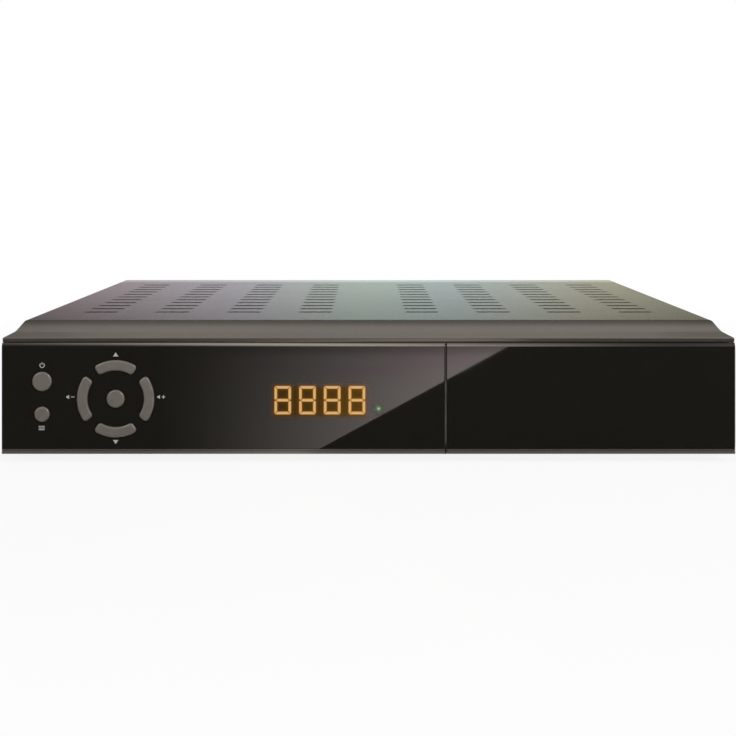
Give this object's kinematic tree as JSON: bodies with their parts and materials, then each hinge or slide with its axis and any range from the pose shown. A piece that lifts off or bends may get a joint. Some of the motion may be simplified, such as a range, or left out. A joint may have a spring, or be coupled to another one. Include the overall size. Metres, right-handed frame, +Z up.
{
  "type": "satellite tv receiver",
  "caption": "Low table-top satellite TV receiver with an ogee-edged vented cover, gloss black front, push buttons, amber digits and a flap over card slots.",
  "frame": {"origin": "middle of the footprint on the surface that the feet stand on", "axes": "+X to the right of someone facing the front, +Y from the front panel to the rear panel, +Z up"},
  "size_m": [0.34, 0.2402, 0.065],
  "materials": {
    "cover_paint": "satin metallic grey-brown paint",
    "pan_steel": "zinc-plated sheet",
    "rear_paint": "fine textured black paint",
    "foot_rubber": "matte black",
    "screw_black": "blackened steel",
    "bezel_plastic": "gloss black with a grey strip",
    "window_gloss": "smoked gloss black",
    "flap_gloss": "gloss black with a grey strip",
    "pin_steel": "bright steel",
    "magnet_ferrite": "dark ferrite",
    "strike_steel": "bright steel",
    "bay_plastic": "fine grained black",
    "guide_plastic": "off-white",
    "switch_black": "black",
    "board_green": "green solder mask",
    "board_tan": "tan laminate",
    "screw_zinc": "zinc-plated",
    "module_black": "black",
    "segment_amber": "lit amber",
    "led_green": "lit green",
    "infrared_black": "dark lens",
    "ribbon_grey": "grey cable jacket",
    "cage_plastic": "black",
    "eject_plastic": "dark grey",
    "reader_black": "black",
    "spacer_brass": "plain",
    "standoff_steel": "zinc-plated",
    "chip_black": "moulded black",
    "sink_aluminium": "black-anodised edges",
    "capacitor_sleeve": "dark sleeve",
    "tin_plate": "tinned",
    "connector_nickel": "nickel-plated",
    "socket_black": "black",
    "jack_gold": "gold-coloured plating",
    "transformer_ferrite": "dark core",
    "fuse_glass": "clear",
    "harness_white": "white",
    "inlet_black": "black",
    "wire_brown": "brown insulation",
    "rocker_black": "black",
    "button_grey": "satin grey-brown"
  },
  "bodies": {
    "case": {"aerial_connectors": "connector_nickel", "board_capacitors": "capacitor_sleeve", "board_screws": "screw_zinc", "board_standoffs": "standoff_steel", "button_guide": "guide_plastic", "card_bay_frame": "bay_plastic", "card_board": "board_green", "card_board_spacers": "spacer_brass", "card_cage": "cage_plastic", "card_readers": "reader_black", "case_screws": "screw_black", "chassis_pan": "pan_steel", "digit_segments": "segment_amber", "display_module": "module_black", "display_window": "window_gloss", "flap_hinge_pins": "pin_steel", "flap_magnet": "magnet_ferrite", "front_bezel": "bezel_plastic", "front_board": "board_green", "front_ribbon": "ribbon_grey", "fuse": "fuse_glass", "hdmi_socket": "tin_plate", "heat_sink": "sink_aluminium", "infrared_receiver": "infrared_black", "main_board": "board_green", "main_processor": "chip_black", "mains_capacitor": "capacitor_sleeve", "mains_inlet": "inlet_black", "mains_wires": "wire_brown", "memory_chips": "chip_black", "output_capacitors": "capacitor_sleeve", "phono_housing": "socket_black", "phono_jacks": "jack_gold", "plastic_screws": "screw_zinc", "power_board": "board_tan", "power_harness": "harness_white", "power_heat_sink": "sink_aluminium", "power_switch_body": "inlet_black", "rear_panel": "rear_paint", "rubber_feet": "foot_rubber", "scart_sockets": "socket_black", "serial_socket": "connector_nickel", "status_led": "led_green", "tact_switches": "switch_black", "top_cover": "cover_paint", "transformer": "transformer_ferrite", "tuner_can": "tin_plate"},
    "flap": {"flap_door": "flap_gloss", "flap_strike_plate": "strike_steel"},
    "rocker": {"power_rocker": "rocker_black"},
    "eject_lower": {"eject_button_lower": "eject_plastic"},
    "eject_upper": {"eject_button_upper": "eject_plastic"},
    "standby": {"standby_button": "button_grey"},
    "menu": {"menu_button": "button_grey"},
    "ok": {"ok_button": "button_grey"},
    "volume_up": {"volume_up_button": "button_grey"},
    "channel_up": {"channel_up_button": "button_grey"},
    "volume_down": {"volume_down_button": "button_grey"},
    "channel_down": {"channel_down_button": "button_grey"}
  },
  "joints": [
    {"name": "flap_hinge", "type": "hinge", "parent": "case", "child": "flap", "pos_m": [0.1024, -0.11475, 0.009], "axis": [1, 0, 0], "range_deg": [0, 90]},
    {"name": "rocker_pivot", "type": "hinge", "parent": "case", "child": "rocker", "pos_m": [-0.104, 0.10645, 0.03], "axis": [0, 0, 1], "range_deg": [0, 20]},
    {"name": "eject_lower_slide", "type": "slide", "parent": "case", "child": "eject_lower", "axis": [0, 1, 0], "range_m": [0, 0.006]},
    {"name": "eject_upper_slide", "type": "slide", "parent": "case", "child": "eject_upper", "axis": [0, 1, 0], "range_m": [0, 0.006]},
    {"name": "standby_press", "type": "slide", "parent": "case", "child": "standby", "axis": [0, 1, 0], "range_m": [0, 0.0006], "stiffness_N_per_m": 1500, "springref_m": -0.0003},
    {"name": "menu_press", "type": "slide", "parent": "case", "child": "menu", "axis": [0, 1, 0], "range_m": [0, 0.0006], "stiffness_N_per_m": 1500, "springref_m": -0.0003},
    {"name": "ok_press", "type": "slide", "parent": "case", "child": "ok", "axis": [0, 1, 0], "range_m": [0, 0.0006], "stiffness_N_per_m": 1500, "springref_m": -0.0003},
    {"name": "volume_up_press", "type": "slide", "parent": "case", "child": "volume_up", "axis": [0, 1, 0], "range_m": [0, 0.0006], "stiffness_N_per_m": 1500, "springref_m": -0.0003},
    {"name": "channel_up_press", "type": "slide", "parent": "case", "child": "channel_up", "axis": [0, 1, 0], "range_m": [0, 0.0006], "stiffness_N_per_m": 1500, "springref_m": -0.0003},
    {"name": "volume_down_press", "type": "slide", "parent": "case", "child": "volume_down", "axis": [0, 1, 0], "range_m": [0, 0.0006], "stiffness_N_per_m": 1500, "springref_m": -0.0003},
    {"name": "channel_down_press", "type": "slide", "parent": "case", "child": "channel_down", "axis": [0, 1, 0], "range_m": [0, 0.0006], "stiffness_N_per_m": 1500, "springref_m": -0.0003}
  ]
}
